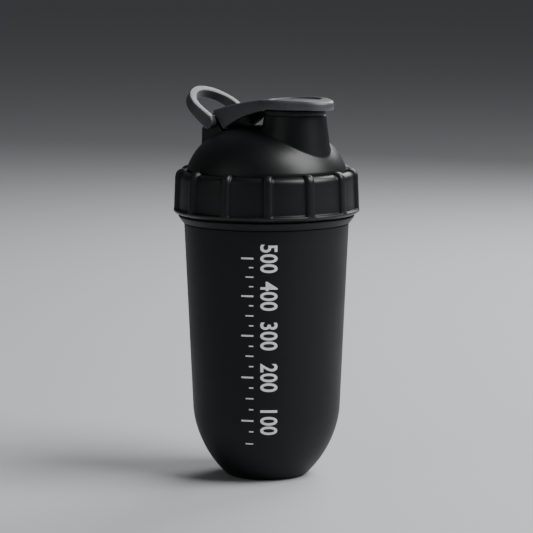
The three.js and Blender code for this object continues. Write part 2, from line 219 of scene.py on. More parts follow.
# %% [markdown]
# ## The tumbler
# The real one is blown or injection moulded: a round bottom with a small flat foot, a wall that widens by
# about a millimetre in every 22, a flared stop that the collar comes down to, and a threaded neck. The
# round bottom is a superellipse, which is a little fuller than an ellipse. The wall is 2.2 mm thick, and
# the outline goes up outside, over the rim and down inside, so the tumbler is one closed shell with a
# real hollow.

# %% The tumbler's outline
FOOT = [(17.6, 0), (18.8, 0.04), (19.8, 0.2), (20.8, 0.52)]
BODY_RADIUS, BODY_SLOPE = 39, 0.0453
ROUND_TOP, ROUND_DEPTH, ROUND_POWER = 36.9, 45.8, 1.87
WALL = 2.2
FLOOR = 2.8
NECK_RADIUS = 41.5
NECK_BORE = 39.3
RIM_TOP = 156.4
STOP_TOP = 138.8


def body_radius(height):
    """Outside radius of the tumbler below its stop."""
    taper = BODY_RADIUS + BODY_SLOPE * (height - ROUND_TOP)
    if height >= ROUND_TOP:
        return taper
    return taper * (1 - ((ROUND_TOP - height) / ROUND_DEPTH) ** ROUND_POWER) ** (1 / ROUND_POWER)


bottom = [(body_radius(z), z) for z in (0.9 + 36 * (k / 26) ** 1.6 for k in range(27))]
side = [(body_radius(z), z) for z in (48, 62, 76, 90, 104, 118, 128, 132.6, 133.9)]
stop = rounded([(43.39, 133.9), (43.4, 134.3, 0.1), (43.0, 134.55, 0.12), (43.0, 134.95, 0.15),
                (44.2, 135.1, 0.3), (46.3, 138.0, 0.5),
                (46.3, STOP_TOP, 0.25), (NECK_RADIUS, STOP_TOP, 0.5)], 3)[1:-1]
rim = rounded([(NECK_RADIUS, 144), (NECK_RADIUS, RIM_TOP, 0.6), (NECK_BORE, RIM_TOP, 0.6), (NECK_BORE, 144)])
inside = []
for k, (radius, height) in enumerate(bottom[:-1]):
    run, rise = bottom[k + 1][0] - radius, bottom[k + 1][1] - height
    if height > 3.2:
        inside.append((radius - WALL * rise / hypot(run, rise), height + WALL * run / hypot(run, rise)))
inside = [p for p in inside if p[1] > FLOOR + 1]
outline = FOOT + bottom + side + stop + rim + [(NECK_BORE, STOP_TOP), (41.1, 132.7), (39.9, 104), (38.3, 70)]
floor_edge = inside[0][0]
outline += inside[::-1] + [(floor_edge - 2.2, FLOOR + 0.35), (floor_edge - 5, FLOOR), (4, FLOOR), (1, FLOOR)]
tumbler = turned("tumbler_shell", outline, sides=160)
described(tumbler)

# %% [markdown]
# ## The screw thread
# A thread is a straight bar of trapezium section wrapped round the neck, climbing one lead each turn. The
# Screw modifier does exactly that to a small section. Its two ends would stop like cut rope, so they are
# sunk into the neck over the last 25 degrees, as a mould maker blends them. The collar has the matching
# thread inside.

# %% A helper for threads
THREAD_LEAD = 9


def thread(name, root, crest, first_turn, last_turn, base):
    let_go()
    bpy.ops.mesh.primitive_circle_add(vertices=8, radius=2 * MM, fill_type="NOTHING")
    ridge = bpy.context.object
    ridge.name = name
    tip = crest + (0.35 if crest < root else -0.35)
    section = [(root, -1.7), (tip, -1.0), (crest, -0.7), (crest, 0), (crest, 0.7), (tip, 1.0)]
    section += [(root, 1.7), (root, 0)]
    for vertex, (radius, height) in zip(ridge.data.vertices, section):
        vertex.co = (radius * MM, 0, (base + height) * MM)
    turns = last_turn - first_turn
    screw = ridge.modifiers.new("climb", "SCREW")
    screw.angle = turns * 2 * pi
    screw.screw_offset = turns * THREAD_LEAD * MM
    screw.steps = screw.render_steps = round(turns * 120)
    bpy.ops.object.modifier_apply(modifier=screw.name)
    bpy.ops.object.transform_apply(location=True, rotation=True, scale=True)
    edit_on()
    bpy.ops.mesh.select_mode(type="EDGE")
    bpy.ops.mesh.select_all(action="DESELECT")
    bpy.ops.mesh.select_non_manifold()
    bpy.ops.mesh.edge_face_add()
    bpy.ops.mesh.select_all(action="SELECT")
    bpy.ops.mesh.normals_make_consistent(inside=False)
    edit_off()
    for vertex in ridge.data.vertices:
        x, y, z = vertex.co / MM
        part_turn = atan2(y, x) / (2 * pi) % 1
        turn = min((part_turn + k for k in range(-1, 3)), key=lambda t: abs(base + THREAD_LEAD * t - z))
        ends = min(turn, turns - turn) / 0.07
        radius = root + (hypot(x, y) - root) * min(1, max(0.02, ends))
        direction = atan2(y, x) + 2 * pi * first_turn
        height = (z + THREAD_LEAD * first_turn) * MM
        vertex.co = (radius * MM * cos(direction), radius * MM * sin(direction), height)
    return ridge


neck_thread = thread("neck_thread", NECK_RADIUS - 0.5, NECK_RADIUS + 1.5, 0, 1.3, 142.3)
described(neck_thread)
tumbler = fused(tumbler, neck_thread)
softly(tumbler)
described(tumbler)

# %% [markdown]
# ## The screw collar
# The collar has 13 upright ribs, so that wet hands can grip it, with sunken panels between them. All 13
# pitches are alike, so one pitch is made and turned round the axis 13 times. A pitch is a grid. Its rows
# follow the section, all the way round outside and inside. Its columns go from the middle of one panel
# over the rib to the middle of the next, and slide from the panel's section to the rib's section within a
# tenth of a millimetre or so. That gives small fillets where a rib rises, which catch the light.

# %% Sections through a panel and through a rib
COLLAR_BASE = 139.3
panel_section = [
    (43.4, COLLAR_BASE), (45.7, COLLAR_BASE), (46.2, 139.35), (46.6, 139.5), (48.1, 140.3),
    (48.6, 140.65), (48.9, 141.0), (49.0, 141.35), (49.0, 141.6), (48.93, 141.85), (48.72, 142.05),
    (48.4, 142.18), (47.8, 142.28), (47.4, 142.42), (47.18, 142.7), (47.1, 143.3), (47.03, 146),
    (46.85, 151), (46.68, 155), (46.52, 157.8), (46.46, 158.7), (46.34, 159.5), (46.0, 160.35),
    (45.45, 161.1), (44.75, 161.65), (44.0, 161.98), (43.2, 162.1), (42.55, 162.06), (42.28, 161.9),
    (42.2, 161.7)
]
rib_section = [
    (43.4, COLLAR_BASE), (45.7, 139.4), (46.6, 139.5), (47.3, 139.7), (48.3, 140.3), (48.75, 140.75),
    (48.95, 141.1), (49.01, 141.4), (49.02, 141.65), (49.02, 141.9), (49.01, 142.1), (49.01, 142.25),
    (49.0, 142.4), (49.0, 142.6), (48.98, 142.9), (48.95, 143.5), (48.86, 146), (48.68, 151), (48.5, 155),
    (48.38, 157.8), (48.33, 159.0), (48.2, 160.1), (47.85, 161.2), (47.2, 162.2), (46.25, 162.95),
    (45.2, 163.35), (44.2, 163.5), (43.3, 163.42), (42.85, 163.1), (42.7, 162.4)
]
bore_section = [
    (42.2, 161.5), (42.4, 161.2), (43.8, 161.2), (44.0, 161.0), (44.0, 156.4), (43.4, 155.8), (43.4, 150),
    (43.4, 144)
]
panel_section += bore_section
rib_section += bore_section
print("rows round the collar's section:", len(panel_section))

# %% One pitch of the collar as a shaped grid
RIBS = 13
RIB_PHASE = -49.3
RIB_TURN_RADIUS = 48  # where a rib's width is measured
half_rib = [
    (0, 1), (0.5, 0.995), (1.0, 0.97), (1.4, 0.92), (1.75, 0.83), (2.05, 0.7), (2.25, 0.55), (2.4, 0.38),
    (2.5, 0.22), (2.62, 0.1), (2.8, 0.03), (3.1, 0), (4.0, 0), (5.5, 0), (7.5, 0), (9.7, 0),
    (pi * RIB_TURN_RADIUS / RIBS, 0)
]
across = [(-y, share) for y, share in half_rib[:0:-1]] + half_rib


def shaped_grid(name, rows, columns, place):
    """A grid whose vertices go where place(row, column) says. The edges that then meet are merged afterwards,
    by closed_up.
    """
    let_go()
    bpy.ops.mesh.primitive_grid_add(x_subdivisions=rows, y_subdivisions=columns, size=2)
    grid = bpy.context.object
    grid.name = name
    for vertex in grid.data.vertices:
        row, column = round((vertex.co.x + 1) / 2 * rows), round((vertex.co.y + 1) / 2 * columns)
        vertex.co = Vector(place(row, column)) * MM
    return grid


def closed_up(piece):
    edit_whole(piece)
    bpy.ops.mesh.remove_doubles(threshold=0.003 * MM)
    bpy.ops.mesh.normals_make_consistent(inside=False)
    edit_off()
    return piece


def collar_point(row, column):
    row %= len(panel_section)
    offset, share = across[column]
    radius = panel_section[row][0] + (rib_section[row][0] - panel_section[row][0]) * share
    height = panel_section[row][1] + (rib_section[row][1] - panel_section[row][1]) * share
    turn = radians(RIB_PHASE) + offset / RIB_TURN_RADIUS
    return radius * cos(turn), radius * sin(turn), height


collar = shaped_grid("collar_ribbed", len(panel_section), len(across) - 1, collar_point)
described(collar)
edit_whole(collar)
bpy.ops.mesh.spin(steps=RIBS - 1, angle=2 * pi * (RIBS - 1) / RIBS, dupli=True, center=(0, 0, 0),
                  axis=(0, 0, 1))
edit_off()
closed_up(collar)
collar_thread = thread("collar_thread", 43.9, 42.0, -0.25, 0.85, 142.3 + THREAD_LEAD / 2)
collar = fused(collar, collar_thread)
softly(collar, 38)
described(collar)

# %% [markdown]
# ## The dome lid and its spout
# The spout does not stand on the middle of the dome but near its front, and a soft fillet runs round its
# foot. A union of the two would leave a hard line there, and a bevel along such a slanting line tears
# easily. So the skin is a grid that starts at the spout's rim: each column runs down the spout, round a
# circular fillet and out over the dome to the collar, then on round the clamping flange, the plug and the
# inside. The fillet's arc is found in each column's own upright plane, where it touches a nearly straight
# wall and the dome's curve.

# %% The curves of the dome and the spout
DOME_RADIUS, DOME_HEIGHT, DOME_CENTRE = 44.2, 37.2, 148.2
DOME_POWERS = (2.87, 2.183)
DOME_EDGE = 41.87
SPOUT_X = 19.4
SPOUT_TOP = 195.2
DRAFT = 0.128
FILLET = 3.0


def dome_height(radius):
    share = np.minimum(np.asarray(radius) / DOME_RADIUS, 0.9999)
    return DOME_CENTRE + DOME_HEIGHT * (1 - share ** DOME_POWERS[0]) ** (1 / DOME_POWERS[1])


def spout_radius(height):
    return 15.8 + DRAFT * (SPOUT_TOP - height)


print("dome top", round(float(dome_height(0)), 1), "mm, spout foot radius", round(spout_radius(172), 1), "mm")

# %% One column of the lid's skin
LEAN = sqrt(1 + DRAFT ** 2)


def evenly(points, count):
    """The same curve through a set number of points, evenly spaced along it."""
    points = np.array(points, float)
    along = np.concatenate([[0], np.cumsum(np.hypot(*np.diff(points, axis=0).T))])
    wanted = np.linspace(0, along[-1], count)
    return np.stack([np.interp(wanted, along, points[:, k]) for k in (0, 1)], axis=1)


def lid_column(direction, reach):
    """Points (distance from the spout's axis, height) down the outside, from the rim to the dome's edge."""
    far = np.linspace(10, reach, 900)
    slope_at = lambda d: dome_height(np.hypot(SPOUT_X + direction[0] * d, direction[1] * d))
    heights = slope_at(far)
    slope = np.gradient(heights, far)
    length = np.sqrt(1 + slope ** 2)
    centre_d, centre_z = far - FILLET * slope / length, heights + FILLET / length
    beyond = centre_d - spout_radius(centre_z) - FILLET * LEAN
    k = int(np.argmax(beyond > 0))
    centre = np.array([centre_d[k], centre_z[k]])
    start = -FILLET * np.array([1, DRAFT]) / LEAN
    end = np.array([far[k], heights[k]]) - centre
    sweep = acos(float(np.clip(start @ end / FILLET ** 2, -1, 1)))
    shares = np.linspace(0, 1, 9)
    bend = [centre + (start * sin((1 - s) * sweep) + end * sin(s * sweep)) / sin(sweep) for s in shares]
    wall = evenly([(spout_radius(192.05), 192.05), bend[0]], 6)[:-1]
    return np.concatenate([wall, bend[:-1], evenly(np.stack([far[k:], heights[k:]], axis=1), 22)])


def thickness_inside(points, wall):
    """The same curve moved into the plastic."""
    step = np.gradient(points, axis=0)
    normal = np.stack([step[:, 1], -step[:, 0]], axis=1) / np.hypot(*step.T)[:, None]
    return points + normal * wall


front = lid_column((1, 0), DOME_EDGE - SPOUT_X)
print("a column has", len(front), "points; the front fillet starts at z", round(float(front[5][1]), 1))

# %% The whole lid skin
LID_COLUMNS = 168
spout_rim = rounded([(13.4, 193.4), (13.4, SPOUT_TOP, 0.5), (16.1, SPOUT_TOP, 0.6), (16.1, 192.95, 0.25),
                     (15.7, 192.65, 0.15), (15.7, 192.4, 0.15), (spout_radius(192.1), 192.1)], 3)
clamp = rounded([(DOME_EDGE, 162.2), (DOME_EDGE, 160.9), (43.7, 160.9, 0.3), (43.7, 158.4, 0.3), (39, 158.4),
                 (39, 149.9, 0.7), (37.4, 149.9, 0.4), (37.4, 158.4), (39.6, 161.5)], 3)
lid_columns = []
for k in range(LID_COLUMNS):
    edge = Vector((DOME_EDGE * cos(2 * pi * k / LID_COLUMNS), DOME_EDGE * sin(2 * pi * k / LID_COLUMNS)))
    away = edge - Vector((SPOUT_X, 0))
    direction, reach = away.normalized(), away.length
    skin = lid_column(direction, reach)
    lining = thickness_inside(skin, 2.2)[::-1]
    lining = lining[lining[:, 1] < 191]
    lining = evenly(lining, 34)
    column = [(SPOUT_X + direction[0] * d, direction[1] * d, z) for d, z in [*spout_rim, *skin]]
    column += [(edge[0] / DOME_EDGE * r, edge[1] / DOME_EDGE * r, z) for r, z in clamp]
    column += [(SPOUT_X + direction[0] * d, direction[1] * d, z) for d, z in lining]
    lid_columns.append(column)
lid = shaped_grid("lid_dome", len(lid_columns[0]), LID_COLUMNS,
                  lambda row, column: lid_columns[column % LID_COLUMNS][row % len(lid_columns[0])])
closed_up(lid)
described(lid)

# %% [markdown]
# ## Flat outlines pulled into solids
# The hinge bracket, the cap and the loop are all flat outlines given a thickness. An n-gon is pulled
# straight by one extrude, and its rims are then rounded by one bevel. Where the solid has to bend or
# taper afterwards, it is first cut by a row of parallel planes, because only places that have vertices
# can bend.

# %% Helpers for extruded outlines
def face_of(name, outline, onto):
    """A filled outline: a circle's vertices moved onto it. onto turns an outline point into a place in mm."""
    let_go()
    bpy.ops.mesh.primitive_circle_add(vertices=len(outline), radius=MM, fill_type="NGON")
    piece = bpy.context.object
    piece.name = name
    for vertex, point in zip(piece.data.vertices, outline):
        vertex.co = Vector(onto(*point)) * MM
    return piece


def pulled(piece, pull):
    """Extrudes the whole face along a vector in millimetres."""
    hold(piece)
    edit_on()
    bpy.ops.mesh.select_mode(type="FACE")
    bpy.ops.mesh.select_all(action="SELECT")
    bpy.ops.mesh.extrude_region_move(TRANSFORM_OT_translate={"value": tuple(x * MM for x in pull)})
    edit_off()
    return faces_out(piece)


def rims_rounded(piece, radius, wanted, segments=3):
    """Bevels the edges whose middle passes a test."""
    hold(piece)
    edit_on()
    pick(piece, "EDGE", wanted)
    bpy.ops.mesh.bevel(offset=radius * MM, segments=segments, profile=0.5, clamp_overlap=True)
    edit_off()
    return piece


def sliced(piece, axis, places):
    """Cuts new edges through everything at each place along an axis, and leaves both halves."""
    hold(piece)
    edit_on()
    normal = tuple(float(k == axis) for k in range(3))
    for place in places:
        bpy.ops.mesh.select_all(action="SELECT")
        point = tuple(place * MM * n for n in normal)
        bpy.ops.mesh.bisect(plane_co=point, plane_no=normal, threshold=1e-7)
    edit_off()
    return piece


def reshaped(piece, change):
    """Moves each vertex to change(x, y, z), all in millimetres."""
    for vertex in piece.data.vertices:
        vertex.co = Vector(change(*(vertex.co / MM))) * MM
    piece.data.update()
    return piece


def spaced(start, end, gap):
    count = max(1, round(abs(end - start) / gap))
    return [start + (end - start) * k / count for k in range(count + 1)]


print("places from 0 to 5 about 2 apart:", spaced(0, 5, 2))

# %% [markdown]
# ## The hinge bracket
# Behind the spout stand two ears that hold the pin, joined by a low wall at the back. They are moulded in
# one with the dome, so they are fused to it. Their feet spread a little as they go down, the draft that
# lets the mould open, and every edge is rounded by a bevel modifier before they are fused.

# %% The bracket's ears and back wall
HINGE_X, HINGE_Z = -27, 187.2
EAR_INSIDE, EAR_OUTSIDE = 9.2, 12.6
BRACKET_FOOT = 172.5
ear_outline = [(-34, BRACKET_FOOT), (-18, BRACKET_FOOT), (-18, 180.7), (-20.2, 182.6)]
ear_outline += arc(HINGE_X, HINGE_Z, 3.4, -15, 205, 20) + [(-33, 184.3), (-34, 183.3)]
wall_outline = [(-33.8, 172), (-29.4, 172), (-31.6, 181.6), (-32.1, 182.1), (-33.8, 182.1)]
bracket = pulled(face_of("hinge_bracket", wall_outline, lambda x, z: (x, -10.5, z)), (0, 21, 0))
for low in (-EAR_OUTSIDE, EAR_INSIDE):
    ear = face_of("ear", ear_outline, lambda x, z: (x, low, z))
    bracket = fused(bracket, pulled(ear, (0, EAR_OUTSIDE - EAR_INSIDE, 0)))
under_dome = [(r, float(dome_height(r)) - 1.3) for r in (39, 38, 36, 34, 31, 28, 24, 20, 15, 8, 1)]
fused(bracket, turned("dome_core", [(39, 165)] + under_dome, sides=96), "DIFFERENCE")
closed_up(bracket)
soften = bracket.modifiers.new("soften", "BEVEL")
soften.width = 0.45 * MM
soften.segments = 3
soften.limit_method = "ANGLE"
soften.angle_limit = radians(38)
hold(bracket)
bpy.ops.object.modifier_apply(modifier=soften.name)
sliced(bracket, 2, spaced(173.1, 183.1, 1))
sliced(bracket, 0, spaced(-25.6, -21, 1.15))


def share_of(value, start, end):
    return min(1, max(0, (value - start) / (end - start)))


def spread(x, y, z):
    """Widens the foot downwards: most at the front, little behind, where the loop's arms swing past."""
    low = max(0, 182.6 - z)
    more = (0.003 + 0.03 * share_of(x, -26, -23)) * low ** 2
    outwards = more * share_of(abs(y), EAR_INSIDE, EAR_OUTSIDE)
    back = 0.005 * max(0, low - 1.6) ** 2 * share_of(x, -30, -34)
    ahead = 0.03 * low ** 2 * share_of(x, -22, -18)
    return x - back + ahead, y + (outwards if y > 0 else -outwards), z


reshaped(bracket, spread)
closed_up(bracket)
described(bracket)
lid = fused(lid, bracket)
softly(lid, 34)
described(lid)

# %% [markdown]
# ## Gasket and seal
# Two soft rings keep the bottle tight. The gasket is a plain ring squeezed between the tumbler's rim and
# the dome's flange. The seal is a soft cup under the cap that plugs the spout, narrower at its foot so
# that it can swing clear. Both are turned.

# %% The rim gasket and the spout seal
gasket = turned("rim_gasket_ring", rounded([(39.3, 156.7, 0.4), (41.9, 156.7, 0.4), (41.9, 158.1, 0.4),
                                            (39.3, 158.1, 0.4)]), ring=True)
softly(gasket)
described(gasket)
seal_corners = [(0, 195.5), (13.1, 195.5, 0.3), (13.1, 194.2, 0.5), (12.0, 190.2, 0.7), (10.5, 190.2, 0.5),
                (10.1, 194.0, 0.8), (0, 194.0)]
seal_outline = [(1, 195.5)] + rounded(seal_corners)[1:-1] + [(1, 194.0)]
seal = turned("spout_seal_cup", seal_outline, sides=96)
hold(seal)
bpy.ops.transform.translate(value=(SPOUT_X * MM, 0, 0))
bpy.ops.object.transform_apply(location=True)
softly(seal)
described(seal)

# %% [markdown]
# ## The flip cap
# From above it is a lever arm that flares into a round lid and ends in a thumb tab. From the side it is
# an arch: it starts low at the hinge, rises over the dome and lies flat on the spout. The arm is hollow
# underneath, as moulders keep walls even, and the round lid has a shallow dish on top. It is made flat
# first: outline, extrude, bevels for the rims, cuts for the bends, and an extrude inwards for the hollow.
# Then every vertex is moved from the flat plate onto the arch. The dish and the well underneath are
# turned pieces that are cut away from it last, so that they stay truly round.

# %% The cap's outline from above
ARM_HALF, LID_RADIUS, TAB_X, TAB_RADIUS, FLARE = 12.4, 17.9, 28.8, 13, 20
flare_x = SPOUT_X - sqrt((LID_RADIUS + FLARE) ** 2 - (ARM_HALF + FLARE) ** 2)
meets = degrees(atan2(ARM_HALF + FLARE, SPOUT_X - flare_x))
tangent = degrees(acos((LID_RADIUS - TAB_RADIUS) / (TAB_X - SPOUT_X)))
half_outline = arc(TAB_X, 0, TAB_RADIUS, 0, tangent, 20)
half_outline += arc(SPOUT_X, 0, LID_RADIUS, tangent, 180 - meets, 24)
half_outline += arc(flare_x, ARM_HALF + FLARE, FLARE, -meets, -90, 14)[1:]
half_outline += [(x, ARM_HALF) for x in spaced(flare_x - 1.2, -30, 1.5)]
cap_outline = half_outline + [(x, -y) for x, y in half_outline[:0:-1]]
print("the cap's outline has", len(cap_outline), "points")

# %% A flat plate with rounded rims and cuts for the bends
PLATE = 10
cap = pulled(face_of("flip_cap_lever", cap_outline, lambda x, y: (x, y, 0)), (0, 0, PLATE))
rims_rounded(cap, 1.65, lambda c, e: c.z > PLATE - 0.01, 5)
rims_rounded(cap, 0.45, lambda c, e: c.z < 0.01, 2)
sliced(cap, 0, [*spaced(-29.5, 4, 1.34), *spaced(5, 40.5, 1.42)])
sliced(cap, 1, [-10.2, *spaced(-9, 9, 1.8), 10.2, -15, 15, -12.6, 12.6])
closed_up(cap)
described(cap)

# %% The hollow under the arm
ARCH_BACK, ARCH_FRONT = -18.5, 5
hold(cap)
edit_on()
pick(cap, "FACE", lambda c, f: c.z < 0.01 and ARCH_BACK < c.x < ARCH_FRONT and abs(c.y) < 10.2)
bpy.ops.mesh.extrude_region_move(TRANSFORM_OT_translate={"value": (0, 0, (PLATE - 2.6) * MM)})
edit_off()
described(cap)

# %% Bending the plate onto the arch
def on_curve(start, control, end, x):
    """Height at x of a curve that leaves start towards the control point and arrives at end from it."""
    a, b, c = start[0] - 2 * control[0] + end[0], 2 * (control[0] - start[0]), start[0] - x
    t = (-b + sqrt(max(0, b * b - 4 * a * c))) / (2 * a) if abs(a) > 1e-9 else -c / b
    return (1 - t) ** 2 * start[1] + 2 * t * (1 - t) * control[1] + t * t * end[1]


UNDERSIDE, CREST = 195.8, 201.0
CAP_TIP, CAP_MIDDLE, CAP_SHOULDER = (-19.2, 183.4), (-3, 191.7), (-27, 193.2)
CROWN = 0.0005  # how fast the top falls off towards its sides


def cap_top(x, y):
    if x < 14:
        height = on_curve(CAP_SHOULDER, (-5, 199.9), (14, CREST - 0.25), x)
    elif x < 24:
        height = CREST - 0.25 + 0.25 * sin((x - 14) / 10 * pi / 2)
    else:
        height = CREST - 1.35 * ((x - 24) / 18) ** 1.8
    return height - CROWN * y * y


def cap_bottom(x, y):
    lifted = 0.7 if x < -13 and abs(y) < 10.3 else 0
    if x < CAP_MIDDLE[0]:
        return on_curve(CAP_TIP, (-12.5, 188.6), CAP_MIDDLE, max(x, -26)) + lifted
    if x < 20:
        return on_curve(CAP_MIDDLE, (9.6, UNDERSIDE), (20, UNDERSIDE), x)
    return UNDERSIDE - 0.6 * max(0, (x - 35) / 7) ** 1.5


def arched(x, y, z):
    if z > PLATE / 2:
        return x, y, cap_top(x, y) - (PLATE - z)
    return x, y, cap_bottom(x, y) + z


reshaped(cap, arched)
edit_whole(cap)
bpy.ops.mesh.quads_convert_to_tris(quad_method="BEAUTY", ngon_method="BEAUTY")
edit_off()
print("cap top over the spout", round(cap_top(SPOUT_X, 0), 2), "mm, underside", UNDERSIDE, "mm")

# %% The dish on top, and the well underneath that the spout's rim sits in
dish = [(1, 199.9), (4, 199.89), (8, 199.85)]
dish += rounded([(12, 199.79), (13.3, 199.76, 0.6), (13.9, 200.75, 0.5), (15.2, 201.05), (15.2, 204)])
well = [(16.6, 186), (16.6, UNDERSIDE + 0.05)]
for name, outline in (("dish", dish), ("well", well)):
    cutter = reshaped(turned(name, outline, sides=120), lambda x, y, z: (x + SPOUT_X, y, z))
    fused(cap, cutter, "DIFFERENCE")
described(cap)

# %% The slanting shoulder at the hinge, then the tongue and the barrel round the pin
slant = Vector((CAP_TIP[1] - CAP_SHOULDER[1], 0, CAP_SHOULDER[0] - CAP_TIP[0])).normalized()
edit_whole(cap)
bpy.ops.mesh.bisect(plane_co=(CAP_SHOULDER[0] * MM, 0, CAP_SHOULDER[1] * MM), plane_no=slant, use_fill=True,
                    clear_outer=True, threshold=1e-7)
edit_off()
faces_out(cap)
rims_rounded(cap, 0.5, lambda c, e: any(f.normal.dot(slant) > 0.999 for f in e.link_faces)
             and e.calc_face_angle(0) > radians(25), 3)
tongue_outline = [(-18.5, 188.2), (-18.5, 194.2), (-26, 193.1), (-28.6, 192.1), (-30.3, 190.4)]
tongue_outline += arc(HINGE_X, HINGE_Z, 4.1, 165, 300, 16)
tongue = pulled(face_of("tongue", tongue_outline, lambda x, z: (x, -8.9, z)), (0, 17.8, 0))
rims_rounded(tongue, 0.35, lambda c, e: abs(c.y) > 8.89, 2)
described(cap)
cap = fused(cap, tongue)
softly(cap, 34)
described(cap)

# %% [markdown]
# ## The carry loop
# The loop is a flat band bent into a U, deepest at the pin and slimmer at its top. It is drawn lying
# down: outline, extrude, rims bevelled all round so that a finger finds no edge, cuts for the taper. Then
# it is tapered, turned up to the angle at which it rests, and put on the pin.

# %% The loop, lying flat and then raised
LOOP_OUT, LOOP_IN, LOOP_REACH, LOOP_LEAN = 16.9, 12.9, 9.4, 36
LOOP_END = LOOP_REACH + LOOP_OUT
loop_outline = [(x, -LOOP_OUT) for x in spaced(-3.6, LOOP_REACH, 1.6)[:-1]]
loop_outline += arc(LOOP_REACH, 0, LOOP_OUT, -90, 90, 56)
loop_outline += [(x, LOOP_OUT) for x in spaced(LOOP_REACH, -3.6, 1.6)[1:]]
loop_outline += [(x, LOOP_IN) for x in spaced(-3.6, LOOP_REACH, 1.6)[:-1]]
loop_outline += arc(LOOP_REACH, 0, LOOP_IN, 90, -90, 56)
loop_outline += [(x, -LOOP_IN) for x in spaced(LOOP_REACH, -3.6, 1.6)[1:]]
FLAT_HALF = 3
loop = face_of("carry_loop_band", loop_outline, lambda x, y: (x, y, -FLAT_HALF))
pulled(loop, (0, 0, 2 * FLAT_HALF))
rims_rounded(loop, 0.6, lambda c, e: abs(c.z) > FLAT_HALF - 0.01 and c.x > -3.5, 4)
sliced(loop, 0, [-3.5, -3.3, -3.0, -2.6, -2.0, -1.2, -0.4, *spaced(0.5, LOOP_END - 0.5, 1.6)])
sliced(loop, 2, [-1.2, 0, 1.2])
described(loop)


def tapered(x, y, z):
    if x < 0:
        return x, y, z / FLAT_HALF * sqrt(max(0.0001, 3.6 ** 2 - x * x))
    share = x / LOOP_END
    return x, y * (1 + 0.045 * sin(pi * share)), z / FLAT_HALF * max(3.6 - 1.5 * share, 2.55)


reshaped(loop, tapered)
closed_up(loop)
raised = Matrix.Translation(Vector((HINGE_X, 0, HINGE_Z)) * MM)
raised @= Matrix.Rotation(-radians(180 - LOOP_LEAN), 4, "Y")
loop.matrix_world = raised
hold(loop)
bpy.ops.object.transform_apply(location=True, rotation=True)
softly(loop, 40)
described(loop)

# %% [markdown]
# ## The hinge pin
# The pin is a short steel rod pressed into blind holes in the loop's two arms. It is a cylinder with its
# two ends chamfered, so that it can be pushed in without scraping the plastic.

# %% The pin
let_go()
bpy.ops.mesh.primitive_cylinder_add(vertices=48, radius=1.6 * MM, depth=30.2 * MM,
                                    rotation=(radians(90), 0, 0), location=(HINGE_X * MM, 0, HINGE_Z * MM))
pin = bpy.context.object
pin.name = "hinge_pin_rod"
bpy.ops.object.transform_apply(location=True, rotation=True)
rims_rounded(pin, 0.3, lambda c, e: abs(c.y) > 15.05, 2)
softly(pin)
described(pin)

# %% [markdown]
# ## The printed scale
# A shaker has white marks printed up its side, so that water can be measured in it. The heights are not
# guessed: the inside is cut into thin slices, and each mark goes where the slices below it add up to its
# volume. Numbers are text objects. They are given a hair's thickness, made into a mesh, cut into strips
# so that they can bend, and only then wrapped round the tumbler. They read downwards.

# %% Heights of the marks from the inside of the tumbler
def inside_radius(height):
    return max(0.0, body_radius(height) - WALL * 1.04)


mark_heights = {}
filled, height, step = 0.0, FLOOR, 0.25
wanted_marks = list(range(50, 525, 25))
while wanted_marks and height < 134:
    filled += pi * inside_radius(height + step / 2) ** 2 * step / 1000
    height += step
    while wanted_marks and filled >= wanted_marks[0]:
        mark_heights[wanted_marks.pop(0)] = round(height, 1)
print("marks in ml at heights in mm:", {k: v for k, v in mark_heights.items() if k % 100 == 0})

# %% A helper that wraps flat print round the tumbler
PRINT_TURN = radians(-49)
INK = 0.07


def wrapped(piece, centre_height):
    """Flat x becomes down, flat y becomes round to the right, and flat z stands off the wall."""
    def onto_wall(x, y, z):
        height = centre_height - x
        turn = PRINT_TURN + y / body_radius(height)
        radius = body_radius(height) + z
        return radius * cos(turn), radius * sin(turn), height

    return faces_out(reshaped(piece, onto_wall))


def printed_number(millilitres):
    let_go()
    bpy.ops.object.text_add()
    words = bpy.context.object
    words.data.body = str(millilitres)
    words.data.size = 12.2 * MM
    words.data.offset = 0.22 * MM
    words.data.extrude = INK / 2 * MM
    words.data.resolution_u = 5
    words.data.space_character = 1.06
    words.data.align_x = "CENTER"
    words.data.align_y = "CENTER"
    bpy.ops.object.convert(target="MESH")
    number = bpy.context.object
    number.name = f"print_{millilitres}"
    reshaped(number, lambda x, y, z: (x * 0.8, y, z + INK / 2 - 0.01))
    edit_whole(number)
    bpy.ops.mesh.remove_doubles(threshold=0.001 * MM)
    edit_off()
    sliced(number, 1, spaced(-4.5, 4.5, 0.9))
    sliced(number, 0, spaced(-8, 8, 2))
    return wrapped(number, mark_heights[millilitres])


def printed_tick(millilitres):
    """A short bar left of the numbers, longer at the full hundreds."""
    length = 6.5 if millilitres % 100 == 0 else 4.2 if millilitres % 50 == 0 else 2.4
    thick = 0.9 if millilitres % 100 == 0 else 0.65
    right = -7.5
    bar = [(-thick / 2, right - length, 0.2), (thick / 2, right - length, 0.2), (thick / 2, right, 0.2),
           (-thick / 2, right, 0.2)]
    tick = pulled(face_of(f"tick_{millilitres}", rounded(bar, 3), lambda x, y: (x, y, -0.01)), (0, 0, INK))
    sliced(tick, 1, spaced(right - length + 0.6, right - 0.6, 0.9))
    return wrapped(tick, mark_heights[millilitres])


prints = [printed_number(n) for n in (100, 200, 300, 400, 500)]
prints += [printed_tick(n) for n in mark_heights]
let_go()
for piece in prints:
    piece.select_set(True)
bpy.context.view_layer.objects.active = prints[0]
bpy.ops.object.join()
volume_scale = bpy.context.object
volume_scale.name = "volume_scale"
described(volume_scale)

